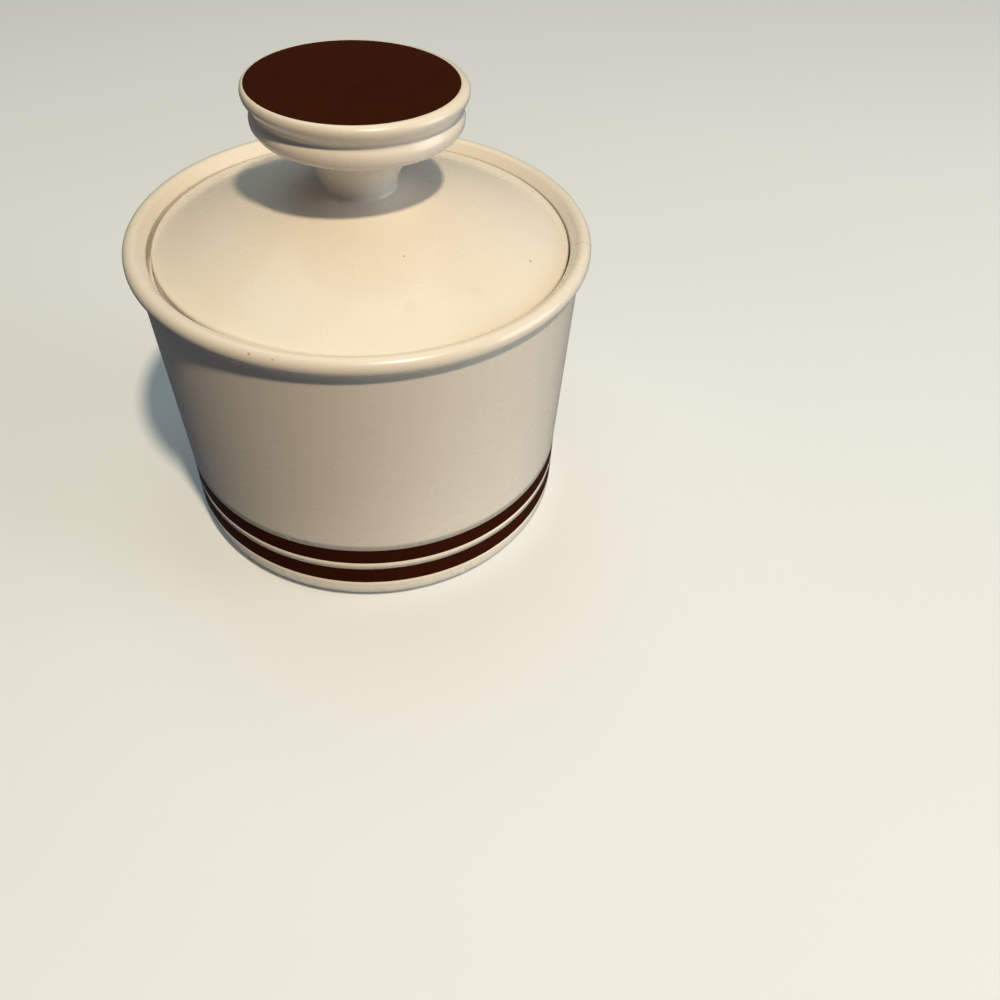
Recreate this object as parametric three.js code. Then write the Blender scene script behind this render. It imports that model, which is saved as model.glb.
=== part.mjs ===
// Lidded sugar bowl in glazed stoneware, in millimetres with +Z up.
// The origin is the centre of the foot, on the surface that the bowl stands on.
// Every piece is turned about +Z, so a profile is a list of points (distance from the axis, height).
import * as THREE from 'three';

// Lid
const LID_RADIUS = 46.4;
const LID_EDGE = 3.8;
const LID_EDGE_ROUND = 1.5;
const LID_RISE = 10.8;
const LID_CROWN = 0.8;
const LID_WALL = 4.2;
const FLANGE_DEPTH = 5.5;
const FLANGE_WALL = 3.2;

// Fit of the lid in the bowl
const LID_CLEARANCE = 0.9;
const FLANGE_CLEARANCE = 0.7;
const LEDGE_WIDTH = 3.5;
const LEDGE_DROP = 6.0;

// Bowl
const BOWL_HEIGHT = 76.1;
const LIP_WIDTH = 4.7;
const LIP_CREST = 2.0;
const LIP_OUTER_ROUND = 2.1;
const LIP_UNDER_ROUND = 2.0;
const LIP_INNER_ROUND = 1.3;
const LIP_OVERHANG = 2.1;
const LIP_UNDERCUT = 4.2;
const WALL_FLARE = 1.65;
const WALL = 4.6;
const FLOOR = 5.0;
const FLOOR_ROUND = 8.0;
const BASE_ROUND = 5.0;
const FOOT_WIDTH = 4.2;
const FOOT_RECESS = 2.0;

// Brown bands round the foot
const BAND_MARGIN = 7.25;
const LOWER_BAND_WIDTH = 4.9;
const BAND_SPACING = 2.1;
const UPPER_BAND_WIDTH = 4.5;
const BAND_DEPTH = 0.4;

// Knob
const KNOB_HEIGHT = 22.8;
const KNOB_SEAT_RADIUS = 11.0;
const STEM_RADIUS = 8.2;
const STEM_WAIST = 1.3;
const ROLL_RADIUS = 22.2;
const ROLL_ROUND = 2.6;
const ROLL_DROP = 6.9;
const RIM_RADIUS = 23.15;
const RIM_WIDTH = 1.4;
const RIM_ROUND = 1.4;
const DISC_DEPTH = 0.4;

// Directions of the profiles in degrees, from +radius towards +height
const LIP_UNDERSIDE_ANGLE = -58;
const LIP_SLOPE_ANGLE = 50;
const KNOB_FOOT_ANGLE = 165;
const STEM_ANGLE = 78;
const ROLL_UNDERSIDE_ANGLE = -80;
const ROLL_TOP_ANGLE = 35;

// Fineness of the turned surfaces
const SEGMENTS = 48;
const ARC_STEPS = 5;
const BLEND_STEPS = 6;
const BLEND_EASE = 0.4;
const DOME_STEPS = 6;
const SAME_POINT = 1e-4;

// Glazes
const CREAM_GLAZE = { color: 0xe6dcc2, roughness: 0.28, metalness: 0 };
const BROWN_GLAZE = { color: 0x3d1a14, roughness: 0.32, metalness: 0 };

// Heights and radii that follow from the sizes above
const ledgeHeight = BOWL_HEIGHT - LEDGE_DROP;
const galleryRadius = LID_RADIUS + LID_CLEARANCE;
const throatRadius = galleryRadius - LEDGE_WIDTH;
const throatFoot = ledgeHeight - FLANGE_DEPTH - FLANGE_CLEARANCE;
const lipRadius = galleryRadius + LIP_WIDTH;
const lipWidest = BOWL_HEIGHT - LIP_OUTER_ROUND;
const shoulderRadius = lipRadius - LIP_OVERHANG;
const shoulderHeight = lipWidest - LIP_UNDERCUT;
const baseRadius = shoulderRadius - WALL_FLARE;
const lowerBandFoot = BAND_MARGIN;
const lowerBandTop = lowerBandFoot + LOWER_BAND_WIDTH;
const upperBandFoot = lowerBandTop + BAND_SPACING;
const kneeHeight = upperBandFoot + UPPER_BAND_WIDTH;
const bandFloorRadius = baseRadius - BAND_DEPTH;
const floorHeight = FOOT_RECESS + FLOOR;
const lidEdgeTop = ledgeHeight + LID_EDGE;
const domeRadius = LID_RADIUS - LID_EDGE_ROUND;
const seatHeight = lidEdgeTop + LID_RISE;
const flangeRadius = throatRadius - FLANGE_CLEARANCE;
const flangeFoot = ledgeHeight - FLANGE_DEPTH;
const knobTop = seatHeight + KNOB_HEIGHT;
const discRadius = RIM_RADIUS - RIM_WIDTH;
const discFoot = knobTop - DISC_DEPTH;

// A profile point
function at(radius, height) {
  return new THREE.Vector2(radius, height);
}

// The unit step in a direction given in degrees
function heading(degrees) {
  const angle = THREE.MathUtils.degToRad(degrees);
  return at(Math.cos(angle), Math.sin(angle));
}

// The point of a circle in a direction from its centre
function onCircle(centre, radius, degrees) {
  return heading(degrees).multiplyScalar(radius).add(centre);
}

// An arc about a centre, from one direction to another
function arc(centre, radius, from, to) {
  const steps = Array.from({ length: ARC_STEPS + 1 }, (_, i) => i / ARC_STEPS);
  return steps.map((share) => onCircle(centre, radius, THREE.MathUtils.lerp(from, to, share)));
}

// A smooth curve that leaves one point and reaches another in given directions
function blend(start, leaving, end, arriving) {
  const reach = start.distanceTo(end) * BLEND_EASE;
  const first = heading(leaving).multiplyScalar(reach).add(start);
  const last = heading(arriving).multiplyScalar(-reach).add(end);
  return new THREE.CubicBezierCurve(start, first, last, end).getPoints(BLEND_STEPS);
}

// A named solid turned from a profile that runs out along the bottom, up the outside and back over the top
function turned(name, profile, glaze) {
  const outline = profile.flat().filter((point, i, all) => i === 0 || point.distanceTo(all[i - 1]) > SAME_POINT);
  const geometry = new THREE.LatheGeometry(outline, SEGMENTS);
  geometry.rotateX(Math.PI / 2);
  const mesh = new THREE.Mesh(geometry, new THREE.MeshStandardMaterial(glaze));
  mesh.name = name;
  return mesh;
}

// The outside of the bowl's wall: upright beside the bands, then flaring evenly to the shoulder
function wallRadius(height) {
  const share = Math.max(0, (height - kneeHeight) / (shoulderHeight - kneeHeight));
  return baseRadius + WALL_FLARE * share;
}

// The top of the lid between its rounded edge and the knob's seat: an even rise with a low crown
function domeHeight(radius) {
  const share = (domeRadius - radius) / (domeRadius - KNOB_SEAT_RADIUS);
  return lidEdgeTop + LID_RISE * share + 4 * LID_CROWN * share * (1 - share);
}

// The dome from one radius to another, lowered by a depth
function domeProfile(from, to, depth) {
  const steps = Array.from({ length: DOME_STEPS + 1 }, (_, i) => i / DOME_STEPS);
  const radii = steps.map((share) => THREE.MathUtils.lerp(from, to, share));
  return radii.map((radius) => at(radius, domeHeight(radius) - depth));
}

// Under the bowl: a recess inside a flat foot ring, and the rounded edge of the base
function footProfile() {
  const edgeRound = Math.min(BASE_ROUND, BAND_MARGIN);
  const ringOuter = baseRadius - edgeRound;
  const ringInner = ringOuter - FOOT_WIDTH;
  return [
    at(0, FOOT_RECESS),
    at(ringInner - FOOT_RECESS, FOOT_RECESS),
    at(ringInner, 0),
    arc(at(ringOuter, edgeRound), edgeRound, -90, 0),
  ];
}

// The shallow seats of the two bands in the upright wall
function bandSeats() {
  return [
    at(baseRadius, lowerBandFoot),
    at(bandFloorRadius, lowerBandFoot),
    at(bandFloorRadius, lowerBandTop),
    at(baseRadius, lowerBandTop),
    at(baseRadius, upperBandFoot),
    at(bandFloorRadius, upperBandFoot),
    at(bandFloorRadius, kneeHeight),
    at(baseRadius, kneeHeight),
  ];
}

// The lip: flared outside, round on top, sloping inside, then upright down to the ledge
function lipProfile() {
  const underCentre = at(lipRadius - LIP_UNDER_ROUND, lipWidest);
  const underside = onCircle(underCentre, LIP_UNDER_ROUND, LIP_UNDERSIDE_ANGLE);
  const crest = at(lipRadius - LIP_CREST, BOWL_HEIGHT);
  const innerCentre = at(lipRadius - LIP_CREST, BOWL_HEIGHT - LIP_INNER_ROUND);
  const slopeTop = onCircle(innerCentre, LIP_INNER_ROUND, LIP_SLOPE_ANGLE + 90);
  const slopeDrop = (slopeTop.x - galleryRadius) * Math.tan(THREE.MathUtils.degToRad(LIP_SLOPE_ANGLE));
  return [
    blend(at(shoulderRadius, shoulderHeight), 90, underside, LIP_UNDERSIDE_ANGLE + 90),
    arc(underCentre, LIP_UNDER_ROUND, LIP_UNDERSIDE_ANGLE, 0),
    blend(at(lipRadius, lipWidest), 90, crest, 180),
    arc(innerCentre, LIP_INNER_ROUND, 90, LIP_SLOPE_ANGLE + 90),
    at(galleryRadius, slopeTop.y - slopeDrop),
    at(galleryRadius, ledgeHeight),
    at(throatRadius, ledgeHeight),
  ];
}

// The inside of the bowl: the throat, a chamfer out to the wall, and a rounded corner at the floor
function insideProfile() {
  const ledgeReach = Math.abs(wallRadius(throatFoot) - WALL - throatRadius);
  const wallTop = throatFoot - ledgeReach;
  const cornerTop = floorHeight + FLOOR_ROUND;
  const wallFoot = Math.max(kneeHeight, cornerTop);
  const cornerRadius = wallRadius(cornerTop) - WALL;
  return [
    at(throatRadius, throatFoot),
    at(wallRadius(wallTop) - WALL, wallTop),
    at(wallRadius(wallFoot) - WALL, wallFoot),
    arc(at(cornerRadius - FLOOR_ROUND, cornerTop), FLOOR_ROUND, 0, -90),
    at(0, floorHeight),
  ];
}

function bowl() {
  return turned('bowl', [footProfile(), bandSeats(), lipProfile(), insideProfile()].flat(), CREAM_GLAZE);
}

// A band of glaze that fills its seat flush with the wall
function band(name, foot, top) {
  const profile = [
    at(bandFloorRadius, foot),
    at(baseRadius, foot),
    at(baseRadius, top),
    at(bandFloorRadius, top),
    at(bandFloorRadius, foot),
  ];
  return turned(name, profile, BROWN_GLAZE);
}

// The lid: hollow below, with a round-ended flange inside the throat and its edge flat on the ledge
function lid() {
  const flangeRound = FLANGE_WALL / 2;
  const flangeInner = flangeRadius - FLANGE_WALL;
  const flangeCentre = at(flangeRadius - flangeRound, flangeFoot + flangeRound);
  const edgeCentre = at(domeRadius, lidEdgeTop - LID_EDGE_ROUND);
  const profile = [
    at(0, seatHeight - LID_WALL),
    domeProfile(KNOB_SEAT_RADIUS, flangeInner, LID_WALL),
    arc(flangeCentre, flangeRound, -180, 0),
    at(flangeRadius, ledgeHeight),
    at(LID_RADIUS, ledgeHeight),
    arc(edgeCentre, LID_EDGE_ROUND, 0, 90),
    domeProfile(domeRadius, KNOB_SEAT_RADIUS, 0),
    at(0, seatHeight),
  ];
  return turned('lid', profile, CREAM_GLAZE);
}

// The knob: a stem that flares from its waist to a roll, with an undercut rim above the roll
function knob() {
  const waist = at(STEM_RADIUS, seatHeight + STEM_WAIST);
  const rollCentre = at(ROLL_RADIUS - ROLL_ROUND, knobTop - ROLL_DROP);
  const underside = onCircle(rollCentre, ROLL_ROUND, ROLL_UNDERSIDE_ANGLE);
  const groove = onCircle(rollCentre, ROLL_ROUND, ROLL_TOP_ANGLE);
  const rim = at(RIM_RADIUS, knobTop - RIM_ROUND);
  const profile = [
    at(0, seatHeight),
    blend(at(KNOB_SEAT_RADIUS, seatHeight), KNOB_FOOT_ANGLE, waist, STEM_ANGLE),
    blend(waist, STEM_ANGLE, underside, ROLL_UNDERSIDE_ANGLE + 90),
    arc(rollCentre, ROLL_ROUND, ROLL_UNDERSIDE_ANGLE, ROLL_TOP_ANGLE),
    blend(groove, ROLL_TOP_ANGLE + 90, rim, 90),
    blend(rim, 90, at(discRadius, knobTop), 180),
    at(discRadius, discFoot),
    at(0, discFoot),
  ];
  return turned('knob', profile, CREAM_GLAZE);
}

// The disc of glaze that fills the flat top of the knob
function knobDisc() {
  const profile = [at(0, discFoot), at(discRadius, discFoot), at(discRadius, knobTop), at(0, knobTop)];
  return turned('knob_disc', profile, BROWN_GLAZE);
}

const lidGroup = new THREE.Group();
lidGroup.add(lid(), knob(), knobDisc());

const lowerBand = band('lower_band', lowerBandFoot, lowerBandTop);
const upperBand = band('upper_band', upperBandFoot, kneeHeight);

const sugarBowl = new THREE.Group();
sugarBowl.add(bowl(), lowerBand, upperBand, lidGroup);

export default sugarBowl;
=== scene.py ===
"""Glazed surfaces of a lidded stoneware sugar bowl, built around its frame.

Every piece is turned about +Z: an outline of (distance from the axis, height) is carried round a circle.
"""

import bpy
import numpy as np
from bpy.props import FloatProperty, FloatVectorProperty, PointerProperty
from mathutils import Matrix, Vector


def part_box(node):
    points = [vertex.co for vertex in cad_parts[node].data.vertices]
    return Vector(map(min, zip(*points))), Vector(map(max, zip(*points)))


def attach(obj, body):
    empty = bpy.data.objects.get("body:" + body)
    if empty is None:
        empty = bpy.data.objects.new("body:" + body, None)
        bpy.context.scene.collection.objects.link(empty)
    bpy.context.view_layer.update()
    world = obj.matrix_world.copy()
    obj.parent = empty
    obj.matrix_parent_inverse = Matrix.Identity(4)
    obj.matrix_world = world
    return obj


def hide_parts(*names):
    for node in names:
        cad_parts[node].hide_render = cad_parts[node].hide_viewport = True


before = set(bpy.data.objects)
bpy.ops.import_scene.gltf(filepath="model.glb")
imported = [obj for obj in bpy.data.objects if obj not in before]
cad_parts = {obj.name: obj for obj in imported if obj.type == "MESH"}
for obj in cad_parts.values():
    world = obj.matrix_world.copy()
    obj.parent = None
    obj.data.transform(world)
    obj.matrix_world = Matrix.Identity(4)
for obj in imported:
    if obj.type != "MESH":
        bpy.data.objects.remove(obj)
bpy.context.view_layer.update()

bl_info = {
    "name": "Lidded Sugar Bowl",
    "version": (1, 0, 0),
    "blender": (4, 5, 0),
    "location": "View3D > Sidebar > Sugar Bowl",
    "description": "Builds the glazed surfaces of a lidded stoneware sugar bowl around its frame",
    "category": "Add Mesh",
}

MM = 0.001

# Fineness of the surfaces
SEGMENTS = 288
ROUND_STEPS = 8
BLEND_STEPS = 24
ROW_GAP = 2.2 * MM

# Effects on the glaze
EDGE_SHARP = 0.9 / MM
EDGE_SOFT = 0.22 / MM


def frame_size(node):
    """Greatest radius, foot height and top height of a frame node."""
    low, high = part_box(node)
    return high.x, low.z, high.z


BOWL_RADIUS, _, BOWL_TOP = frame_size("bowl")
BAND_RADIUS, LOWER_BAND_FOOT, LOWER_BAND_TOP = frame_size("lower_band")
_, UPPER_BAND_FOOT, UPPER_BAND_TOP = frame_size("upper_band")
LID_RADIUS, FLANGE_FOOT, SEAT_HEIGHT = frame_size("lid")
KNOB_RADIUS, _, KNOB_TOP = frame_size("knob")
DISC_RADIUS, _, DISC_TOP = frame_size("knob_disc")


# Properties

def length(name, description, default):
    """A length property in metres."""
    return FloatProperty(name=name, description=description, default=default, unit="LENGTH", precision=5)


def angle(name, description, default):
    """An angle property, with its default in degrees."""
    return FloatProperty(name=name, description=description, default=np.radians(default), subtype="ANGLE")


def colour(name, description, default):
    """A colour property with linear values."""
    return FloatVectorProperty(
        name=name, description=description, default=default, size=3, min=0, max=1, subtype="COLOR"
    )


class BowlSizes(bpy.types.PropertyGroup):
    lip_outer_round: length("Lip outer round", "Height of the lip's rounding above its widest line", 2.1 * MM)
    lip_under_round: length("Lip under round", "Rounding of the lip below its widest line", 2.0 * MM)
    lip_inner_round: length("Lip inner round", "Rounding of the lip's inside", 1.8 * MM)
    lip_crest: length("Lip crest", "Distance from the lip's outside to its highest line", 2.0 * MM)
    lip_slope: angle("Lip slope", "Steepness of the slope inside the lip", 55)
    lip_underside: angle("Lip underside", "Where the hollow under the lip meets the lip's rounding", -58)
    lip_overhang: length("Lip overhang", "How far the lip stands out from the wall", 2.1 * MM)
    lip_undercut: length("Lip undercut", "Height of the hollow under the lip's widest line", 4.2 * MM)
    ledge_drop: length("Ledge drop", "Depth of the lid's ledge below the lip", 6.0 * MM)
    ledge_width: length("Ledge width", "Width of the lid's ledge", 3.5 * MM)
    throat_depth: length("Throat depth", "Height of the upright face below the ledge", 6.2 * MM)
    wall: length("Wall", "Thickness of the wall", 4.6 * MM)
    floor: length("Floor", "Thickness of the floor", 5.0 * MM)
    floor_round: length("Floor round", "Rounding between wall and floor inside", 8.0 * MM)
    base_round: length("Base round", "Rounding of the edge that stands on the table", 5.0 * MM)
    foot_width: length("Foot width", "Width of the ring that the bowl stands on", 4.2 * MM)
    foot_recess: length("Foot recess", "Depth of the hollow inside the foot ring", 2.0 * MM)
    corner_round: length("Corner round", "Softening of the ledge and foot corners", 0.6 * MM)


class BandSizes(bpy.types.PropertyGroup):
    depth: length("Depth", "Depth of the band's seat in the wall", 0.2 * MM)
    proud: length("Proud", "Height of the band above the wall", 0.04 * MM)
    wander: length("Wander", "How far the brushed edges wander up and down", 0.06 * MM)


class LidSizes(bpy.types.PropertyGroup):
    clearance: length("Clearance", "Gap between the lid's edge and the bowl", 0.9 * MM)
    edge: length("Edge", "Thickness of the lid at its edge", 3.8 * MM)
    edge_round: length("Edge round", "Rounding of the lid's upper edge", 1.0 * MM)
    crown: length("Crown", "Swell of the dome above an even slope", 0.8 * MM)
    wall: length("Wall", "Thickness of the dome", 4.2 * MM)
    flange_clearance: length("Flange clearance", "Gap between the flange and the throat", 0.7 * MM)
    flange_wall: length("Flange wall", "Thickness of the locating flange", 3.2 * MM)
    corner_round: length("Corner round", "Softening of the corners underneath", 0.5 * MM)
    swell: length("Swell", "How far the glazed edge stands out beyond the frame's lid", 0.3 * MM)
    offset: FloatVectorProperty(
        name="Offset", description="How far the loose lid has slid from the middle of its seat",
        default=(0.3 * MM, 0.25 * MM), size=2, unit="LENGTH", precision=5,
    )


class KnobSizes(bpy.types.PropertyGroup):
    seat_radius: length("Seat radius", "Radius of the foot that is stuck to the lid", 11.0 * MM)
    stem_radius: length("Stem radius", "Radius of the stem at its waist", 8.2 * MM)
    stem_waist: length("Stem waist", "Height of the waist above the lid", 1.3 * MM)
    stem_angle: angle("Stem angle", "Direction of the stem's flare at its waist", 78)
    roll_radius: length("Roll radius", "Radius of the roll", 22.2 * MM)
    roll_round: length("Roll round", "Rounding of the roll", 2.6 * MM)
    roll_drop: length("Roll drop", "Depth of the roll's middle below the top", 6.9 * MM)
    rim_round: length("Rim round", "Height of the rounding of the rim's upper edge", 1.4 * MM)
    foot_depth: length("Foot depth", "How far the foot is sunk in the lid's glaze", 0.35 * MM)
    foot_angle: angle("Foot angle", "Direction in which the foot leaves the lid", 158)
    underside_angle: angle("Underside angle", "Where the stem's flare meets the roll", -80)
    groove_angle: angle("Groove angle", "Where the groove under the rim leaves the roll", 35)
    disc_depth: length("Disc depth", "Depth of the disc's seat in the top", 0.3 * MM)
    foot_shift: length("Foot shift", "How far the knob's foot sits from the middle of the lid", -0.5 * MM)
    head_shift: length("Head shift", "How far the knob's head sits from the middle of the lid", 0.45 * MM)
    disc_shift: length("Disc shift", "How far the disc sits from the middle of the head", -0.55 * MM)


class GlazeColours(bpy.types.PropertyGroup):
    cream: colour("Cream", "Cream glaze", (0.80, 0.75, 0.69))
    cream_warm: colour("Warm cream", "Cream glaze where it is thicker", (0.77, 0.705, 0.62))
    cream_thin: colour("Thin cream", "Cream glaze where it thins over an edge", (0.73, 0.645, 0.54))
    brown: colour("Brown", "Brown glaze", (0.033, 0.0056, 0.0007))
    brown_light: colour("Light brown", "Brown glaze where the brush left it thin", (0.044, 0.0090, 0.0018))
    clay: colour("Clay", "Bare fired clay of the foot and the ledge", (0.56, 0.42, 0.28))
    speck: colour("Speck", "Iron specks and dirt in pinholes", (0.16, 0.09, 0.05))


class StageSettings(bpy.types.PropertyGroup):
    camera_place: FloatVectorProperty(
        name="Camera place", description="Where the camera stands", default=(0.0, -187.19 * MM, 178.70 * MM),
        size=3, subtype="TRANSLATION", unit="LENGTH",
    )
    camera_yaw: angle("Camera yaw", "Turn of the camera to the right", 10.77)
    camera_pitch: angle("Camera pitch", "Tilt of the camera below the horizon", 45.83)
    camera_roll: angle("Camera roll", "Turn of the camera about its view", 3.66)
    camera_lens: FloatProperty(
        name="Camera lens", description="Focal length on a 36 mm sensor", default=32.16, unit="CAMERA"
    )
    floor_colour: colour("Floor colour", "Pale floor", (0.80, 0.86, 0.96))
    bounce_radius: length("Bounce radius", "Radius of the floor that lights the bowl", 112 * MM)
    bounce_shift: length("Bounce shift", "How far that floor's middle lies to the right of the bowl", 62 * MM)
    key_colour: colour("Key colour", "Warm lamp in front and above", (1.0, 0.81, 0.54))
    top_colour: colour("Top colour", "Soft light from the ceiling", (0.86, 1.0, 0.90))
    fill_colour: colour("Fill colour", "Cool light from the right", (0.90, 0.98, 1.0))
    room_colour: colour("Room colour", "Dim light from the whole room", (0.075, 0.078, 0.085))


class SugarBowlSettings(bpy.types.PropertyGroup):
    bowl: PointerProperty(type=BowlSizes)
    bands: PointerProperty(type=BandSizes)
    lid: PointerProperty(type=LidSizes)
    knob: PointerProperty(type=KnobSizes)
    glaze: PointerProperty(type=GlazeColours)
    stage: PointerProperty(type=StageSettings)


# Outlines

def unit(vectors):
    """Vectors scaled to length one."""
    return vectors / np.linalg.norm(vectors, axis=-1, keepdims=True)


def heading(direction):
    """The unit step in a direction measured from +radius towards +height."""
    return np.stack([np.cos(direction), np.sin(direction)], axis=-1)


def arc(centre, radius, start, stop):
    """Part of a circle: the centre plus the radius times the heading, at even steps from start to stop."""
    return np.asarray(centre) + radius * heading(np.linspace(start, stop, 2 * ROUND_STEPS + 1))


def blend(start, leaving, end, arriving, ease=0.4):
    """A cubic Bezier curve whose handles point along the leaving and arriving directions.

    Each handle is as long as the chord times ease.
    """
    start, end = np.asarray(start), np.asarray(end)
    reach = ease * np.linalg.norm(end - start)
    handles = np.stack([start, start + reach * heading(leaving), end - reach * heading(arriving), end])
    t = np.linspace(0, 1, BLEND_STEPS + 1)[:, None]
    weights = np.hstack([(1 - t) ** 3, 3 * t * (1 - t) ** 2, 3 * t**2 * (1 - t), t**3])
    return weights @ handles


def softened(corners):
    """A polyline with rounded corners, from rows of (radius, height, rounding).

    At each inner corner the arc's centre lies on the bisector, rounding / sin(half the corner) away,
    and the arc runs between the two points rounding / tan(half the corner) along the sides.
    """
    corners = np.asarray(corners, float)
    points, rounds = corners[:, :2], corners[1:-1, 2:]
    back, ahead = unit(points[:-2] - points[1:-1]), unit(points[2:] - points[1:-1])
    half = np.arccos(np.clip((back * ahead).sum(1, keepdims=True), -1, 1)) / 2
    centre = points[1:-1] + unit(back + ahead) * rounds / np.sin(half)
    begin = points[1:-1] + back * rounds / np.tan(half) - centre
    end = points[1:-1] + ahead * rounds / np.tan(half) - centre
    first = np.arctan2(begin[:, 1], begin[:, 0])
    swing = (np.arctan2(end[:, 1], end[:, 0]) - first + np.pi) % (2 * np.pi) - np.pi
    turn = first[:, None] + swing[:, None] * np.linspace(0, 1, ROUND_STEPS + 1)
    arcs = centre[:, None] + rounds[:, None] * heading(turn)
    return np.vstack([points[:1], arcs.reshape(-1, 2), points[-1:]])


def joined(*stretches):
    """Stretches laid end to end, without doubled points, with rows at most ROW_GAP apart."""
    outline = np.vstack([np.atleast_2d(stretch) for stretch in stretches])
    steps = np.linalg.norm(np.diff(outline, axis=0), axis=1)
    outline = outline[np.concatenate([[True], steps > 1e-7])]
    side = np.diff(outline, axis=0)
    counts = np.maximum(1, np.ceil(np.linalg.norm(side, axis=1) / ROW_GAP)).astype(int)
    index = np.repeat(np.arange(len(counts)), counts)
    along = (np.arange(counts.sum()) - np.repeat(np.cumsum(counts) - counts, counts)) / counts[index]
    return np.vstack([outline[index] + side[index] * along[:, None], outline[-1:]])


def sharpness(outline):
    """How sharply each point of an outline bends outwards: 0 on flat or hollow stretches, 1 on an edge.

    It is the turn at the point divided by half the length of its two sides, eased between two limits.
    """
    side = np.diff(outline, axis=0)
    length_of = np.linalg.norm(side, axis=1)
    turn = np.arctan2(
        side[:-1, 0] * side[1:, 1] - side[:-1, 1] * side[1:, 0], (side[:-1] * side[1:]).sum(1)
    )
    bend = np.pad(turn / (0.5 * (length_of[:-1] + length_of[1:])), 1)
    return np.clip((bend - EDGE_SOFT) / (EDGE_SHARP - EDGE_SOFT), 0, 1)


# Surfaces

def turns():
    """The angles of the surface's meridians."""
    return np.linspace(0, 2 * np.pi, SEGMENTS, endpoint=False)


def wander(seed):
    """A smooth wave round the circle between about -1 and 1: sines of rising pitch and falling height."""
    pitches = np.array([2, 3, 5, 8, 13, 21, 34])
    heights = pitches**-0.6
    phases = np.random.default_rng(seed).uniform(0, 2 * np.pi, len(pitches))
    return np.sin(np.outer(turns(), pitches) + phases) @ heights / heights.sum()


def carried_round(outline, lift=0.0, shift=(0.0, 0.0)):
    """The outline carried round +Z: (r cos a + shift x, r sin a + shift y, z + lift), rows by angles.

    lift is a grid or a single value, and shift is one pair or a pair per row.
    """
    radius, height = outline[:, :1], outline[:, 1:]
    across, along = (np.asarray(shift) + np.zeros_like(outline)).T[:, :, None]
    return np.stack([
        radius * np.cos(turns()) + across,
        radius * np.sin(turns()) + along,
        height + lift + np.zeros(SEGMENTS),
    ], axis=-1)


def quads(rows, wrap):
    """Corner numbers of a grid's quads. Its columns close round, and its rows too if wrap is set."""
    row = np.arange(rows if wrap else rows - 1)[:, None]
    column = np.arange(SEGMENTS)[None, :]
    here, above = row * SEGMENTS, (row + 1) % rows * SEGMENTS
    beside = (column + 1) % SEGMENTS
    corners = [here + column, here + beside, above + beside, above + column]
    return np.stack(np.broadcast_arrays(*corners), axis=-1).reshape(-1, 4)


def pole_fans(rows):
    """Triangles from the two poles, numbered after the grid, to the grid's first and last rows."""
    column = np.arange(SEGMENTS)
    beside = (column + 1) % SEGMENTS
    last = (rows - 1) * SEGMENTS
    foot = np.full(SEGMENTS, rows * SEGMENTS)
    first_fan = np.stack([foot, beside, column], axis=-1)
    last_fan = np.stack([foot + 1, last + column, last + beside], axis=-1)
    return np.vstack([first_fan, last_fan])


def new_piece(name, points, faces, values):
    """A smooth mesh object with named values on its points."""
    mesh = bpy.data.meshes.new(name)
    mesh.from_pydata(points, [], faces)
    mesh.polygons.foreach_set("use_smooth", np.ones(len(mesh.polygons), bool))
    for label, value in values.items():
        mesh.attributes.new(label, "FLOAT", "POINT").data.foreach_set("value", value.astype(np.float32))
    mesh.validate()
    mesh.update()
    piece = bpy.data.objects.new(name, mesh)
    bpy.context.scene.collection.objects.link(piece)
    return piece


def solid_piece(name, outline, row_values, lift=0.0, shift=(0.0, 0.0)):
    """A closed surface turned from an outline that starts and ends on the axis, with a value per row."""
    grid = carried_round(outline, lift, shift)
    poles = grid[[0, -1]].mean(axis=1)
    body = grid[1:-1]
    faces = quads(len(body), False).tolist() + pole_fans(len(body)).tolist()
    points = np.vstack([body.reshape(-1, 3), poles])
    values = {
        label: np.concatenate([np.repeat(value[1:-1], SEGMENTS), value[[0, -1]]])
        for label, value in row_values.items()
    }
    return new_piece(name, points, faces, values)


def ring_piece(name, outline, lift=0.0):
    """A closed ring turned from an outline that closes on itself."""
    grid = carried_round(outline, lift)[:-1]
    return new_piece(name, grid.reshape(-1, 3), quads(len(grid), True), {})


def dress(piece, body, node, material):
    """Puts a material on a piece, and sets it in the frame in the node's place."""
    piece.data.materials.append(material)
    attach(piece, body)
    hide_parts(node)


# Shader building

def place(tree, kind, inputs=None, **settings):
    """A shader node with its settings, each input either linked from a socket or set to a value."""
    made = tree.nodes.new(kind)
    for setting, value in settings.items():
        setattr(made, setting, value)
    for socket, value in (inputs or {}).items():
        if isinstance(value, bpy.types.NodeSocket):
            tree.links.new(value, made.inputs[socket])
        else:
            made.inputs[socket].default_value = value
    return made


def maths(tree, operation, *values, clamp=False):
    """The result of a math node."""
    inputs = dict(enumerate(values))
    return place(tree, "ShaderNodeMath", inputs, operation=operation, use_clamp=clamp).outputs[0]


def vector_maths(tree, operation, *values, **named):
    """A vector math node."""
    return place(tree, "ShaderNodeVectorMath", {**dict(enumerate(values)), **named}, operation=operation)


def ramp(tree, value, low, high, to_low=0.0, to_high=1.0):
    """A value eased from one range to another."""
    inputs = {"Value": value, "From Min": low, "From Max": high, "To Min": to_low, "To Max": to_high}
    return place(tree, "ShaderNodeMapRange", inputs, interpolation_type="SMOOTHSTEP").outputs["Result"]


def opaque(tint, strength=1.0):
    """A colour property as an opaque socket value, dimmed by a strength."""
    return (*(strength * value for value in tint), 1.0)


def mixed(tree, factor, first, second):
    """Two colours mixed by a factor."""
    factor_in, first_in, second_in, colour_out = 0, 6, 7, 2
    inputs = {factor_in: factor, first_in: first, second_in: second}
    return place(tree, "ShaderNodeMix", inputs, data_type="RGBA").outputs[colour_out]


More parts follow.
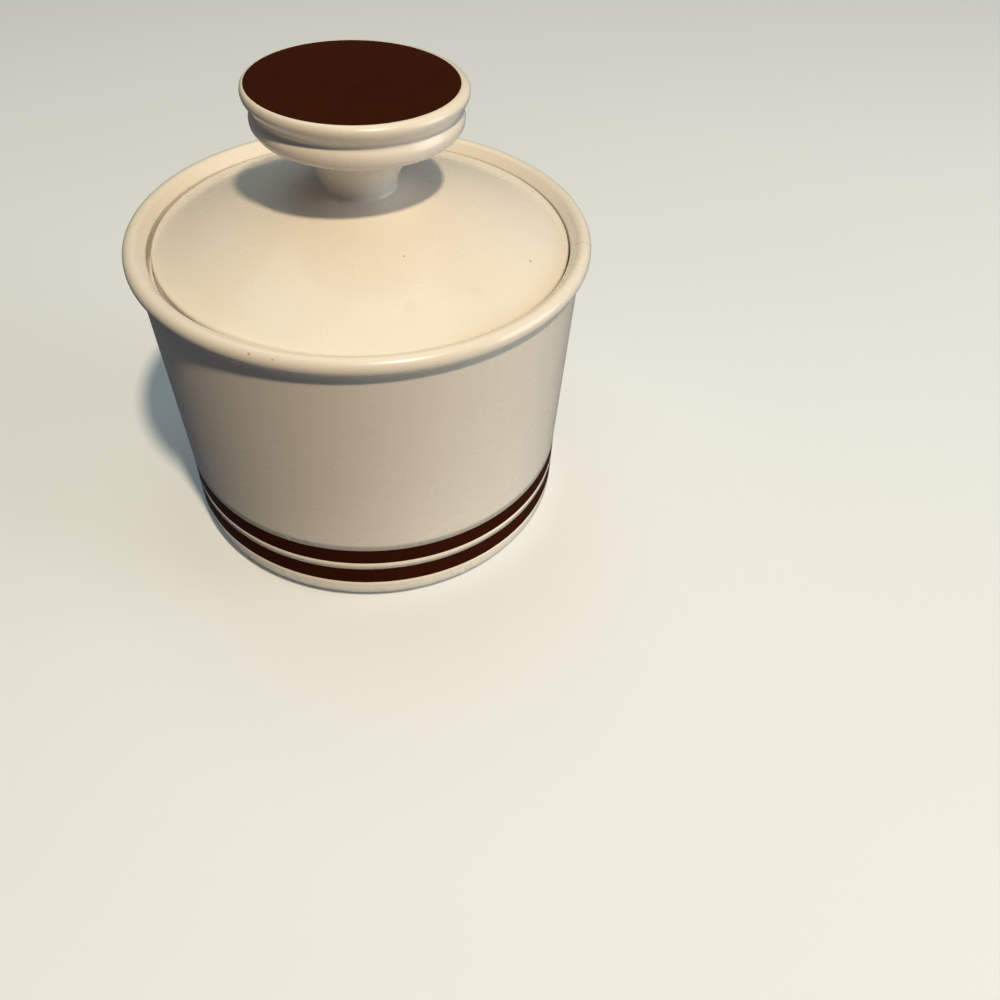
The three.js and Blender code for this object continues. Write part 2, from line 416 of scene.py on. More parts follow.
def noise(tree, position, size, detail=2.0, roughness=0.5):
    """Noise whose features are about one size across."""
    inputs = {"Vector": position, "Scale": 1 / size, "Detail": detail, "Roughness": roughness}
    return place(tree, "ShaderNodeTexNoise", inputs).outputs["Fac"]


def effect(name, inputs, outputs):
    """An empty node group with named sockets: its tree, its inputs and its output node."""
    tree = bpy.data.node_groups.new(name, "ShaderNodeTree")
    for socket, (kind, default) in inputs.items():
        made = tree.interface.new_socket(socket, in_out="INPUT", socket_type=kind)
        if default is not None:
            made.default_value = default
    for socket, kind in outputs.items():
        tree.interface.new_socket(socket, in_out="OUTPUT", socket_type=kind)
    return tree, place(tree, "NodeGroupInput").outputs, place(tree, "NodeGroupOutput").inputs


def use(tree, group_tree, **inputs):
    """An effect placed in a material with its own values."""
    made = tree.nodes.new("ShaderNodeGroup")
    made.node_tree = group_tree
    for socket, value in inputs.items():
        target = made.inputs[socket.replace("_", " ").capitalize()]
        if isinstance(value, bpy.types.NodeSocket):
            tree.links.new(value, target)
        else:
            target.default_value = value
    return made.outputs


VECTOR, VALUE, COLOUR = "NodeSocketVector", "NodeSocketFloat", "NodeSocketColor"


# Effects

def mottle_effect():
    """Glaze that lies thicker in soft clouds: two colours mixed by coarse and fine noise."""
    inputs = {
        "Position": (VECTOR, None), "Thin": (COLOUR, None), "Thick": (COLOUR, None),
        "Cloud size": (VALUE, 0.012), "Amount": (VALUE, 0.5),
    }
    tree, given, result = effect("Glaze mottle", inputs, {"Colour": COLOUR, "Cloud": VALUE})
    scale = maths(tree, "DIVIDE", 1.0, given["Cloud size"])
    scaled = vector_maths(tree, "SCALE", given["Position"], Scale=scale)
    coarse = noise(tree, scaled.outputs[0], 1.0, 3.0)
    fine = noise(tree, scaled.outputs[0], 0.12, 2.0)
    cloud = maths(tree, "ADD", maths(tree, "MULTIPLY", coarse, 0.88), maths(tree, "MULTIPLY", fine, 0.12))
    soft = ramp(tree, cloud, 0.3, 0.7)
    factor = maths(tree, "MULTIPLY", soft, given["Amount"])
    tree.links.new(mixed(tree, factor, given["Thin"], given["Thick"]), result["Colour"])
    tree.links.new(soft, result["Cloud"])
    return tree


def speck_effect():
    """Scattered round specks: Voronoi cells of which a share hold a dot smaller than the cell."""
    inputs = {
        "Position": (VECTOR, None), "Cell": (VALUE, 0.006), "Dot": (VALUE, 0.03), "Share": (VALUE, 0.2),
    }
    tree, given, result = effect("Glaze specks", inputs, {"Mask": VALUE})
    scaled = vector_maths(tree, "SCALE", given["Position"], Scale=maths(tree, "DIVIDE", 1.0, given["Cell"]))
    cells = place(tree, "ShaderNodeTexVoronoi", {"Vector": scaled.outputs[0], "Scale": 1.0})
    chance = place(tree, "ShaderNodeSeparateColor", {"Color": cells.outputs["Color"]}).outputs
    chosen = maths(tree, "LESS_THAN", chance[0], given["Share"])
    reach = maths(tree, "MULTIPLY", given["Dot"], maths(tree, "ADD", chance[1], 0.4))
    edge = maths(tree, "DIVIDE", cells.outputs["Distance"], reach)
    tree.links.new(maths(tree, "MULTIPLY", chosen, ramp(tree, edge, 1.0, 0.5)), result["Mask"])
    return tree


def ripple_effect():
    """Height of a glaze surface: a slow ripple left by the wheel and the dip, and a fine orange peel."""
    inputs = {"Position": (VECTOR, None), "Ripple": (VALUE, 0.5), "Peel": (VALUE, 0.5)}
    tree, given, result = effect("Glaze ripple", inputs, {"Height": VALUE})
    slow = maths(tree, "MULTIPLY", noise(tree, given["Position"], 9 * MM, 1.0), given["Ripple"])
    peel = maths(tree, "MULTIPLY", noise(tree, given["Position"], 0.9 * MM, 2.0), given["Peel"])
    tree.links.new(maths(tree, "ADD", slow, peel), result["Height"])
    return tree


def flaw_effect():
    """A single soft spot: 1 inside a radius about a centre, easing to 0, with a ragged edge."""
    inputs = {
        "Position": (VECTOR, None), "Centre": (VECTOR, None),
        "Radius": (VALUE, 0.001), "Ragged": (VALUE, 0.3),
    }
    tree, given, result = effect("Glaze flaw", inputs, {"Mask": VALUE})
    away = vector_maths(tree, "DISTANCE", given["Position"], given["Centre"]).outputs["Value"]
    uneven = noise(tree, given["Position"], 0.5 * MM, 2.0)
    swing = maths(tree, "MULTIPLY", maths(tree, "SUBTRACT", uneven, 0.5), given["Ragged"])
    reach = maths(tree, "ADD", maths(tree, "DIVIDE", away, given["Radius"]), swing)
    tree.links.new(ramp(tree, reach, 1.0, 0.55), result["Mask"])
    return tree


def brushed_effect():
    """Brush marks that run round the axis: noise that is long round the circle and short across it."""
    inputs = {"Position": (VECTOR, None), "Across": (VALUE, 0.0006), "Around": (VALUE, 3.0)}
    tree, given, result = effect("Brush marks", inputs, {"Mark": VALUE})
    flat = vector_maths(tree, "MULTIPLY", given["Position"], (1.0, 1.0, 0.0)).outputs[0]
    radius = vector_maths(tree, "LENGTH", flat).outputs["Value"]
    height = place(tree, "ShaderNodeSeparateXYZ", {0: given["Position"]}).outputs["Z"]
    outward = vector_maths(tree, "NORMALIZE", flat).outputs[0]
    around = vector_maths(tree, "SCALE", outward, Scale=given["Around"])
    across = maths(tree, "DIVIDE", maths(tree, "SUBTRACT", height, radius), given["Across"])
    upward = place(tree, "ShaderNodeCombineXYZ", {"Z": across}).outputs[0]
    path = vector_maths(tree, "ADD", around.outputs[0], upward).outputs[0]
    tree.links.new(noise(tree, path, 1.0, 3.0, 0.6), result["Mark"])
    return tree


def effects():
    """The shared effects, each built once."""
    makers = {
        "mottle": ("Glaze mottle", mottle_effect),
        "specks": ("Glaze specks", speck_effect),
        "ripple": ("Glaze ripple", ripple_effect),
        "flaw": ("Glaze flaw", flaw_effect),
        "brushed": ("Brush marks", brushed_effect),
    }
    return {key: bpy.data.node_groups.get(name) or maker() for key, (name, maker) in makers.items()}


# Materials

def new_material(name, roughness, specular, coat):
    """A material with its tree, its shader and its object coordinates."""
    material = bpy.data.materials.new(name)
    material.use_nodes = True
    tree = material.node_tree
    shader = tree.nodes["Principled BSDF"]
    shader.inputs["Roughness"].default_value = roughness
    shader.inputs["Specular IOR Level"].default_value = specular
    shader.inputs["Coat Weight"].default_value = coat
    shader.inputs["Coat Roughness"].default_value = 0.12
    position = place(tree, "ShaderNodeTexCoord").outputs["Object"]
    return material, tree, shader, position


def point_value(tree, label):
    """A value that was stored on the piece's points."""
    return place(tree, "ShaderNodeAttribute", attribute_name=label).outputs["Fac"]


def raise_surface(tree, shader, height, depth):
    """Bump from a height between 0 and 1 times a depth in metres."""
    bump = place(tree, "ShaderNodeBump", {"Height": height, "Distance": depth, "Strength": 1.0})
    tree.links.new(bump.outputs["Normal"], shader.inputs["Normal"])


def hairline(tree, position, azimuth, foot):
    """A hairline crack: 1 close to a wavering upright half plane through the axis, above a height."""
    turn = np.radians(azimuth)
    across = vector_maths(tree, "DOT_PRODUCT", position, (-np.sin(turn), np.cos(turn), 0)).outputs["Value"]
    outward = vector_maths(tree, "DOT_PRODUCT", position, (np.cos(turn), np.sin(turn), 0)).outputs["Value"]
    waver = maths(tree, "MULTIPLY_ADD", noise(tree, position, 2.5 * MM, 2.0), 1.2 * MM, -0.6 * MM)
    line = ramp(tree, maths(tree, "ABSOLUTE", maths(tree, "ADD", across, waver)), 0.14 * MM, 0.04 * MM)
    height = place(tree, "ShaderNodeSeparateXYZ", {0: position}).outputs["Z"]
    above = ramp(tree, height, foot - 0.5 * MM, foot + 0.5 * MM)
    this_side = maths(tree, "GREATER_THAN", outward, 0.0)
    return maths(tree, "MULTIPLY", line, maths(tree, "MULTIPLY", above, this_side))


def cream_glaze(name, flaws, cracks=()):
    """Cream glaze: mottled, thinner on edges, bare on foot and ledge, with specks, flaws and hairlines."""
    glaze = bpy.context.scene.sugar_bowl.glaze
    shared = effects()
    material, tree, shader, position = new_material(name, 0.3, 0.5, 0.35)
    mottle = use(
        tree, shared["mottle"], position=position, thin=opaque(glaze.cream), thick=opaque(glaze.cream_warm),
        cloud_size=11 * MM, amount=0.35,
    )
    edge = maths(tree, "MULTIPLY", point_value(tree, "edge"), 0.25)
    colour_now = mixed(tree, edge, mottle["Colour"], opaque(glaze.cream_thin))
    specks = use(tree, shared["specks"], position=position, cell=7 * MM, dot=0.035, share=0.2)["Mask"]
    marks = maths(tree, "MULTIPLY", specks, 0.7)
    for centre, radius, strength in flaws:
        spot = use(tree, shared["flaw"], position=position, centre=centre, radius=radius, ragged=0.5)["Mask"]
        marks = maths(tree, "MAXIMUM", marks, maths(tree, "MULTIPLY", spot, strength))
    for azimuth, foot, strength in cracks:
        line = hairline(tree, position, azimuth, foot)
        marks = maths(tree, "MAXIMUM", marks, maths(tree, "MULTIPLY", line, strength))
    colour_now = mixed(tree, marks, colour_now, opaque(glaze.speck))
    grain = noise(tree, position, 0.4 * MM, 3.0)
    bare = ramp(tree, maths(tree, "MULTIPLY_ADD", grain, 0.3, point_value(tree, "bare")), 0.5, 0.9)
    clay = mixed(tree, grain, opaque(glaze.clay), opaque(glaze.clay, 0.7))
    tree.links.new(mixed(tree, bare, colour_now, clay), shader.inputs["Base Color"])
    gloss = maths(tree, "ADD", maths(tree, "MULTIPLY", mottle["Cloud"], 0.06), 0.25)
    tree.links.new(maths(tree, "ADD", gloss, maths(tree, "MULTIPLY", bare, 0.5)), shader.inputs["Roughness"])
    tree.links.new(maths(tree, "MULTIPLY_ADD", bare, -0.35, 0.35), shader.inputs["Coat Weight"])
    ripple = use(tree, shared["ripple"], position=position, ripple=0.1, peel=0.008)["Height"]
    pits = maths(tree, "SUBTRACT", ripple, maths(tree, "MULTIPLY", marks, 0.5))
    rough = maths(tree, "MULTIPLY", bare, grain)
    raise_surface(tree, shader, maths(tree, "MULTIPLY_ADD", rough, 0.5, pits), 0.1 * MM)
    return material


def brown_glaze(name, across):
    """Brown glaze: dark and mottled, with lighter brush marks round the axis."""
    glaze = bpy.context.scene.sugar_bowl.glaze
    shared = effects()
    material, tree, shader, position = new_material(name, 0.35, 0.03, 0.0)
    mark = use(tree, shared["brushed"], position=position, across=across, around=4.0)["Mark"]
    streak = ramp(tree, mark, 0.45, 0.75)
    mottle = use(
        tree, shared["mottle"], position=position, thin=opaque(glaze.brown), thick=opaque(glaze.brown_light),
        cloud_size=8 * MM, amount=0.3,
    )
    streaked = mixed(tree, maths(tree, "MULTIPLY", streak, 0.4), mottle["Colour"], opaque(glaze.brown_light))
    tree.links.new(streaked, shader.inputs["Base Color"])
    tree.links.new(maths(tree, "MULTIPLY_ADD", streak, 0.08, 0.32), shader.inputs["Roughness"])
    ripple = use(tree, shared["ripple"], position=position, ripple=0.25, peel=0.02)["Height"]
    raise_surface(tree, shader, maths(tree, "MULTIPLY_ADD", mark, 0.1, ripple), 0.1 * MM)
    return material


# Pieces

def spot_at(radius, height, azimuth):
    """A place on a turned surface, from its radius, height and azimuth in degrees."""
    turn = np.radians(azimuth)
    return (radius * np.cos(turn), radius * np.sin(turn), height)


def ledge_height(sizes):
    """Height of the ledge that the lid rests on."""
    return BOWL_TOP - sizes.bowl.ledge_drop


def throat_radius(sizes):
    """Radius of the opening inside the ledge."""
    return LID_RADIUS + sizes.lid.clearance - sizes.bowl.ledge_width


def wall_radius(sizes, height):
    """Outside of the wall: upright beside the bands, then flaring evenly to the shoulder."""
    shoulder_radius = BOWL_RADIUS - sizes.bowl.lip_overhang
    shoulder_height = BOWL_TOP - sizes.bowl.lip_outer_round - sizes.bowl.lip_undercut
    rise = max(0.0, (height - UPPER_BAND_TOP) / (shoulder_height - UPPER_BAND_TOP))
    return BAND_RADIUS + (shoulder_radius - BAND_RADIUS) * rise


def bowl_outside(sizes):
    """The foot, the wall with the seats of the two bands, and the hollow under the lip."""
    bowl = sizes.bowl
    seat = BAND_RADIUS - sizes.bands.depth
    ring_outer = BAND_RADIUS - bowl.base_round
    ring_inner = ring_outer - bowl.foot_width
    shoulder = (BOWL_RADIUS - bowl.lip_overhang, BOWL_TOP - bowl.lip_outer_round - bowl.lip_undercut)
    under_middle = (BOWL_RADIUS - bowl.lip_under_round, BOWL_TOP - bowl.lip_outer_round)
    under = arc(under_middle, bowl.lip_under_round, bowl.lip_underside, 0)
    slope = np.arctan2(shoulder[1] - UPPER_BAND_TOP, shoulder[0] - BAND_RADIUS)
    foot = softened([
        (0, bowl.foot_recess, 0),
        (ring_inner - bowl.foot_recess, bowl.foot_recess, bowl.corner_round),
        (ring_inner, 0, bowl.corner_round),
        (BAND_RADIUS, 0, bowl.base_round),
        (BAND_RADIUS, LOWER_BAND_FOOT, 0),
    ])
    seats = np.array([
        (seat, LOWER_BAND_FOOT), (seat, LOWER_BAND_TOP), (BAND_RADIUS, LOWER_BAND_TOP),
        (BAND_RADIUS, UPPER_BAND_FOOT), (seat, UPPER_BAND_FOOT), (seat, UPPER_BAND_TOP),
        (BAND_RADIUS, UPPER_BAND_TOP),
    ])
    return foot, seats, blend(shoulder, slope, under[0], bowl.lip_underside + np.pi / 2), under


def lip_inner_middle(sizes):
    """Middle of the rounding on the inside of the lip."""
    return np.array([BOWL_RADIUS - sizes.bowl.lip_crest, BOWL_TOP - sizes.bowl.lip_inner_round])


def bowl_inside(sizes):
    """The slope inside the lip, the ledge, the throat, the chamfer to the wall, and the floor."""
    bowl = sizes.bowl
    gallery = LID_RADIUS + sizes.lid.clearance
    ledge, throat = ledge_height(sizes), throat_radius(sizes)
    slope_top = lip_inner_middle(sizes) + bowl.lip_inner_round * heading(np.pi / 2 + bowl.lip_slope)
    slope_foot = slope_top[1] - (slope_top[0] - gallery) * np.tan(bowl.lip_slope)
    throat_foot = ledge - bowl.throat_depth
    wall_top = throat_foot - abs(wall_radius(sizes, throat_foot) - bowl.wall - throat)
    floor_height = bowl.foot_recess + bowl.floor
    return softened([
        (*slope_top, 0),
        (gallery, slope_foot, bowl.corner_round),
        (gallery, ledge, bowl.corner_round),
        (throat, ledge, bowl.corner_round),
        (throat, throat_foot, bowl.corner_round),
        (wall_radius(sizes, wall_top) - bowl.wall, wall_top, bowl.floor_round / 2),
        (BAND_RADIUS - bowl.wall, UPPER_BAND_TOP, bowl.floor_round),
        (BAND_RADIUS - bowl.wall, floor_height, bowl.floor_round),
        (0, floor_height, 0),
    ])


def bowl_outline(sizes):
    """The whole bowl from the middle of its foot, up the outside, over the lip and down to its floor."""
    bowl = sizes.bowl
    widest, crest = (BOWL_RADIUS, BOWL_TOP - bowl.lip_outer_round), (BOWL_RADIUS - bowl.lip_crest, BOWL_TOP)
    over = blend(widest, np.pi / 2, crest, np.pi)
    into = arc(lip_inner_middle(sizes), bowl.lip_inner_round, np.pi / 2, np.pi / 2 + bowl.lip_slope)
    return joined(*bowl_outside(sizes), over, into, bowl_inside(sizes))


BAND_EDGES = {LOWER_BAND_FOOT: 11, LOWER_BAND_TOP: 12, UPPER_BAND_FOOT: 13, UPPER_BAND_TOP: 14}


def edge_lift(sizes, outline):
    """How far each point of the upright wall moves so that the bands' seats follow their brushed edges.

    Each edge's wave fades to nothing over a short height above and below it.
    """
    reach = 0.4 * (UPPER_BAND_FOOT - LOWER_BAND_TOP)
    outside = outline[:, 0] > BAND_RADIUS - 2 * sizes.bands.depth
    levels, seeds = list(BAND_EDGES), list(BAND_EDGES.values())
    near = np.clip(1 - np.abs(outline[:, 1:] - np.array(levels)) / reach, 0, 1) * outside[:, None]
    waves = np.stack([wander(seed) for seed in seeds])
    return sizes.bands.wander * near @ waves


class SUGAR_BOWL_OT_bowl(bpy.types.Operator):
    """Builds the bowl with its foot ring, flared wall, rounded lip and ledge"""
    bl_idname = "sugar_bowl.bowl"
    bl_label = "Bowl"

    def execute(self, context):
        sizes = context.scene.sugar_bowl
        outline = bowl_outline(sizes)
        radius, height = outline.T
        ledge = ledge_height(sizes)
        on_foot = height < 0.3 * MM
        on_ledge = (np.abs(height - ledge) < 0.3 * MM) & (radius > throat_radius(sizes))
        bare = on_foot | (on_ledge & (radius < LID_RADIUS))
        values = {"edge": sharpness(outline), "bare": bare.astype(float)}
        piece = solid_piece("bowl_body", outline, values, lift=edge_lift(sizes, outline))
        lip = BOWL_TOP - 0.8 * MM
        flaws = [
            (spot_at(50.0 * MM, lip, -169.9), 0.3 * MM, 0.8),
            (spot_at(51.4 * MM, lip, -116.4), 0.4 * MM, 0.5),
            (spot_at(51.6 * MM, lip, -111.0), 0.25 * MM, 0.6),
            (spot_at(52.0 * MM, lip, -65.8), 0.3 * MM, 0.5),
            (spot_at(50.4 * MM, lip, 37.4), 0.6 * MM, 0.6),
            (spot_at(50.0 * MM, 55.6 * MM, -83.3), 0.3 * MM, 0.7),
        ]
        cracks = [(-13, BOWL_TOP - 3.5 * MM, 0.45)]
        dress(piece, "bowl", "bowl", cream_glaze("Cream glaze of the bowl", flaws, cracks))
        return {"FINISHED"}


def band_piece(sizes, name, foot, top):
    """A band of glaze: a thin ring whose lower and upper edges wander as its seat does."""
    bands = sizes.bands
    seat, face = BAND_RADIUS - bands.depth, BAND_RADIUS + bands.proud
    middle = 0.5 * (foot + top)
    round_edge = 0.9 * bands.proud
    outline = joined(softened([
        (seat, middle, 0),
        (seat, foot, 0),
        (BAND_RADIUS, foot, 0),
        (face, foot + bands.proud, round_edge),
        (face, top - bands.proud, round_edge),
        (BAND_RADIUS, top, 0),
        (seat, top, 0),
        (seat, middle, 0),
    ]))
    rise = ((outline[:, 1:] - foot) / (top - foot)).clip(0, 1)
    lift = bands.wander * ((1 - rise) * wander(BAND_EDGES[foot]) + rise * wander(BAND_EDGES[top]))
    return ring_piece(name, outline, lift)


class SUGAR_BOWL_OT_bands(bpy.types.Operator):
    """Builds the two brown bands round the foot of the bowl"""
    bl_idname = "sugar_bowl.bands"
    bl_label = "Bands"

    def execute(self, context):
        sizes = context.scene.sugar_bowl
        material = brown_glaze("Brown glaze of the bands", 0.5 * MM)
        lower = band_piece(sizes, "lower_band_glaze", LOWER_BAND_FOOT, LOWER_BAND_TOP)
        upper = band_piece(sizes, "upper_band_glaze", UPPER_BAND_FOOT, UPPER_BAND_TOP)
        dress(lower, "bowl", "lower_band", material)
        dress(upper, "bowl", "upper_band", material)
        return {"FINISHED"}


def dome_height(sizes, radius):
    """Top of the lid: an even rise from edge to seat, plus the crown times four s (1 - s).

    s runs from 0 at the inner end of the edge's rounding to 1 at the knob's seat.
    """
    edge_top = ledge_height(sizes) + sizes.lid.edge
    edge_radius = LID_RADIUS + sizes.lid.swell - sizes.lid.edge_round
    s = (edge_radius - radius) / (edge_radius - sizes.knob.seat_radius)
    return edge_top + (SEAT_HEIGHT - edge_top) * s + 4 * sizes.lid.crown * s * (1 - s)


def dome(sizes, start, stop, depth):
    """The dome's outline from one radius to another, lowered by a depth."""
    radius = np.linspace(start, stop, BLEND_STEPS + 1)
    return np.stack([radius, dome_height(sizes, radius) - depth], axis=-1)


def lid_outline(sizes):
    """The lid from the middle of its hollow, round the flange and the edge, and over the dome."""
    lid = sizes.lid
    ledge = ledge_height(sizes)
    flange_outer = throat_radius(sizes) - lid.flange_clearance
    flange_inner = flange_outer - lid.flange_wall
    flange_round = lid.flange_wall / 2
    flange_middle = (flange_outer - flange_round, FLANGE_FOOT + flange_round)
    rim_radius = LID_RADIUS + lid.swell
    edge_radius = rim_radius - lid.edge_round
    step = 0.1 * MM
    slope = np.arctan((dome_height(sizes, edge_radius - step) - dome_height(sizes, edge_radius)) / step)
    touch_radius = edge_radius + lid.edge_round * np.sin(slope)
    touch = dome_height(sizes, touch_radius)
    edge_middle = (edge_radius, touch - lid.edge_round * np.cos(slope))
    under = dome(sizes, sizes.knob.seat_radius, flange_inner, lid.wall)
    rim = softened([
        (flange_outer, flange_middle[1], 0),
        (flange_outer, ledge, lid.corner_round),
        (rim_radius, ledge, lid.corner_round),
        (rim_radius, edge_middle[1], 0),
    ])
    return joined(
        (0, SEAT_HEIGHT - lid.wall),
        under,
        arc(flange_middle, flange_round, -np.pi, 0),
        rim,
        arc(edge_middle, lid.edge_round, 0, np.pi / 2 - slope),
        dome(sizes, touch_radius, sizes.knob.stem_radius, 0),
        (0, SEAT_HEIGHT),
    )


class SUGAR_BOWL_OT_lid(bpy.types.Operator):
    """Builds the domed lid with its locating flange"""
    bl_idname = "sugar_bowl.lid"
    bl_label = "Lid"

    def execute(self, context):
        sizes = context.scene.sugar_bowl
        outline = lid_outline(sizes)
        radius, height = outline.T
        seated = (np.abs(height - ledge_height(sizes)) < 0.3 * MM) & (radius > throat_radius(sizes))
        values = {"edge": sharpness(outline), "bare": seated.astype(float)}
        piece = solid_piece("lid_body", outline, values, shift=sizes.lid.offset)
        spots = [
            (39.97 * MM, -27.7, 0.45 * MM, 0.5),
            (24.6 * MM, -71.1, 0.3 * MM, 0.5),
            (37.6 * MM, -54.4, 1.6 * MM, 0.05),
            (36.7 * MM, -77.2, 1.8 * MM, 0.05),
        ]
        flaws = [(spot_at(r, dome_height(sizes, r), turn), size, depth) for r, turn, size, depth in spots]
        dress(piece, "lid", "lid", cream_glaze("Cream glaze of the lid", flaws))
        return {"FINISHED"}


def knob_outline(sizes):
    """The knob from the middle of its foot, up the stem, round the roll and the rim, into the disc's seat."""
    knob = sizes.knob
    quarter = np.pi / 2
    waist = (knob.stem_radius, SEAT_HEIGHT + knob.stem_waist)
    roll = np.array([knob.roll_radius - knob.roll_round, KNOB_TOP - knob.roll_drop])
    underside = roll + knob.roll_round * heading(knob.underside_angle)
    groove = roll + knob.roll_round * heading(knob.groove_angle)
    rim = np.array([KNOB_RADIUS, KNOB_TOP - knob.rim_round])
    foot_height = dome_height(sizes, knob.seat_radius) - knob.foot_depth
    return joined(
        (0, foot_height),
        blend((knob.seat_radius, foot_height), knob.foot_angle, waist, knob.stem_angle, 0.3),
        blend(waist, knob.stem_angle, underside, knob.underside_angle + quarter),
        arc(roll, knob.roll_round, knob.underside_angle, knob.groove_angle),
        blend(groove, knob.groove_angle + quarter, rim, quarter),
        blend(rim, quarter, (DISC_RADIUS, KNOB_TOP), np.pi),
        (DISC_RADIUS, DISC_TOP - knob.disc_depth),
        (0, DISC_TOP - knob.disc_depth),
    )


def knob_shift(sizes, outline):
    """How far each point of the knob and its disc moves along +X and +Y, beside the lid's own offset.

    The shift eases from foot to head as 3 s squared minus 2 s cubed: s is 0 at the seat and 1 at the roll.
    On top of the rim the disc's shift grows evenly from the rim to the disc's edge.
    """
    knob = sizes.knob
    radius, height = outline[:, :1], outline[:, 1:]
    s = np.clip((height - SEAT_HEIGHT) / (KNOB_TOP - knob.roll_drop - SEAT_HEIGHT), 0, 1)
    on_top = height > KNOB_TOP - knob.rim_round
    inward = np.clip((KNOB_RADIUS - radius) / (KNOB_RADIUS - DISC_RADIUS), 0, 1) * on_top
    lean = knob.foot_shift + (knob.head_shift - knob.foot_shift) * s**2 * (3 - 2 * s)
    across = lean + knob.disc_shift * inward
    return np.asarray(sizes.lid.offset) + across * (1, 0)


class SUGAR_BOWL_OT_knob(bpy.types.Operator):
    """Builds the knob with its flaring stem, its roll and its rim"""
    bl_idname = "sugar_bowl.knob"
    bl_label = "Knob"

    def execute(self, context):
        sizes = context.scene.sugar_bowl
        outline = knob_outline(sizes)
        above_seat = outline[:, 1] > SEAT_HEIGHT
        values = {"edge": sharpness(outline) * above_seat, "bare": np.zeros(len(outline))}
        piece = solid_piece("knob_body", outline, values, shift=knob_shift(sizes, outline))
        dress(piece, "lid", "knob", cream_glaze("Cream glaze of the knob", []))
        return {"FINISHED"}


class SUGAR_BOWL_OT_knob_disc(bpy.types.Operator):
    """Builds the brown disc on top of the knob"""
    bl_idname = "sugar_bowl.knob_disc"
    bl_label = "Knob disc"

    def execute(self, context):
        sizes = context.scene.sugar_bowl
        foot = DISC_TOP - sizes.knob.disc_depth
        outline = joined(softened([
            (0, foot, 0),
            (DISC_RADIUS, foot, 0),
            (DISC_RADIUS, DISC_TOP, 0.5 * sizes.knob.disc_depth),
            (0, DISC_TOP, 0),
        ]))
        piece = solid_piece("knob_disc_glaze", outline, {}, shift=knob_shift(sizes, outline))
        dress(piece, "lid", "knob_disc", brown_glaze("Brown glaze of the disc", 1.2 * MM))
        return {"FINISHED"}


# Stage

def add_light(name, tint, azimuth, elevation, away, size, power):
    """A round soft light aimed at the bowl, placed by azimuth and elevation in degrees and distance."""
    lamp = bpy.data.lights.new(name, "AREA")
    lamp.shape = "DISK"
    lamp.size = size
    lamp.energy = power
    lamp.color = tuple(tint)
    turn, rise = np.radians((azimuth, elevation))
    way = Vector((np.cos(rise) * np.cos(turn), np.cos(rise) * np.sin(turn), np.sin(rise)))
    light = bpy.data.objects.new(name, lamp)
    light.location = Vector((0, 0, BOWL_TOP)) + away * way
    light.rotation_euler = way.to_track_quat("Z", "Y").to_euler()
    bpy.context.scene.collection.objects.link(light)


def add_floor(stage):
    """A wide pale floor with a faint unevenness, in two pieces: a disc under the bowl and the rest.

    Only the disc, which reaches further to the right, throws its light back on the bowl.
    """
    material, tree, shader, position = new_material("Pale floor", 0.7, 0.5, 0.0)
    tint = noise(tree, position, 0.15, 2.0)
    patches = mixed(tree, tint, opaque(stage.floor_colour), opaque(stage.floor_colour, 0.97))
    tree.links.new(patches, shader.inputs["Base Color"])
    edges = carried_round(np.array([(6.0, 0.0), (stage.bounce_radius, 0.0)]))
    edges[1, :, 0] += stage.bounce_shift
    rest = new_piece("floor_rest", edges.reshape(-1, 3), quads(2, False), {})
    disc = new_piece("floor_disc", edges[1], [range(SEGMENTS)], {})
    rest.visible_diffuse = False
    for floor in (rest, disc):
        floor.visible_glossy = False
        floor.data.materials.append(material)


def add_camera(stage):
    """The camera, turned by its yaw, then tilted below the horizon, then rolled about its view."""
    lens = bpy.data.cameras.new("camera")
    lens.lens = stage.camera_lens
    lens.clip_start = 0.01
    camera = bpy.data.objects.new("camera", lens)
    tilt = np.pi / 2 - stage.camera_pitch
    turn = Matrix.Rotation(-stage.camera_yaw, 4, "Z") @ Matrix.Rotation(tilt, 4, "X")
    roll = Matrix.Rotation(stage.camera_roll, 4, "Z")
    camera.matrix_world = Matrix.Translation(stage.camera_place) @ turn @ roll
    bpy.context.scene.collection.objects.link(camera)
    bpy.context.scene.camera = camera


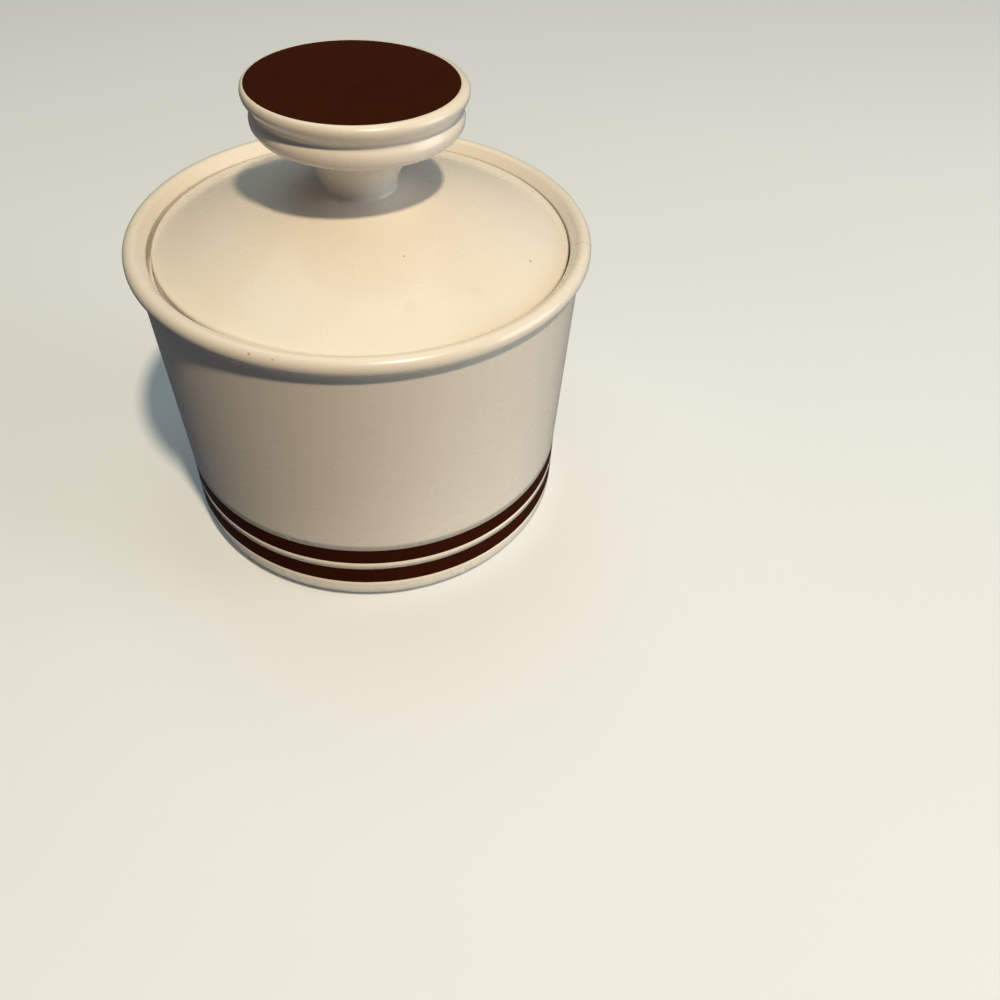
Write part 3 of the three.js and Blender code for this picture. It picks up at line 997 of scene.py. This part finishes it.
class SUGAR_BOWL_OT_stage(bpy.types.Operator):
    """Sets the pale floor, the soft lights and the camera"""
    bl_idname = "sugar_bowl.stage"
    bl_label = "Stage"

    def execute(self, context):
        scene = context.scene
        stage = scene.sugar_bowl.stage
        add_camera(stage)
        add_floor(stage)
        add_light("key", stage.key_colour, -70, 58, 1.6, 0.11, 21.6)
        add_light("top", stage.top_colour, 120, 74, 1.2, 1.2, 3.6)
        add_light("fill", stage.fill_colour, -14, 13, 1.2, 0.8, 5.8)
        world = bpy.data.worlds.new("room")
        world.use_nodes = True
        sky = world.node_tree.nodes["Background"]
        sky.inputs["Color"].default_value = opaque(stage.room_colour)
        sky.inputs["Strength"].default_value = 1.0
        scene.world = world
        scene.view_settings.view_transform = "Standard"
        return {"FINISHED"}


class SUGAR_BOWL_PT_panel(bpy.types.Panel):
    """Lists the pieces of the sugar bowl and their sizes"""
    bl_idname = "SUGAR_BOWL_PT_panel"
    bl_label = "Sugar Bowl"
    bl_space_type = "VIEW_3D"
    bl_region_type = "UI"
    bl_category = "Sugar Bowl"

    def draw(self, context):
        settings = context.scene.sugar_bowl
        for operator in OPERATORS:
            self.layout.operator(operator.bl_idname)
        for group in settings.bl_rna.properties.keys()[2:]:
            box = self.layout.box()
            box.label(text=group.capitalize())
            part = getattr(settings, group)
            for name in part.bl_rna.properties.keys()[2:]:
                box.prop(part, name)


OPERATORS = (
    SUGAR_BOWL_OT_bowl,
    SUGAR_BOWL_OT_bands,
    SUGAR_BOWL_OT_lid,
    SUGAR_BOWL_OT_knob,
    SUGAR_BOWL_OT_knob_disc,
    SUGAR_BOWL_OT_stage,
)
CLASSES = (
    BowlSizes, BandSizes, LidSizes, KnobSizes, GlazeColours, StageSettings, SugarBowlSettings,
    *OPERATORS, SUGAR_BOWL_PT_panel,
)


def register():
    for cls in CLASSES:
        bpy.utils.register_class(cls)
    bpy.types.Scene.sugar_bowl = PointerProperty(type=SugarBowlSettings)


def unregister():
    del bpy.types.Scene.sugar_bowl
    for cls in reversed(CLASSES):
        bpy.utils.unregister_class(cls)


def main():
    """Registers the classes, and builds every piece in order."""
    register()
    bpy.ops.sugar_bowl.bowl()
    bpy.ops.sugar_bowl.bands()
    bpy.ops.sugar_bowl.lid()
    bpy.ops.sugar_bowl.knob()
    bpy.ops.sugar_bowl.knob_disc()
    bpy.ops.sugar_bowl.stage()


if __name__ == "__main__":
    main()
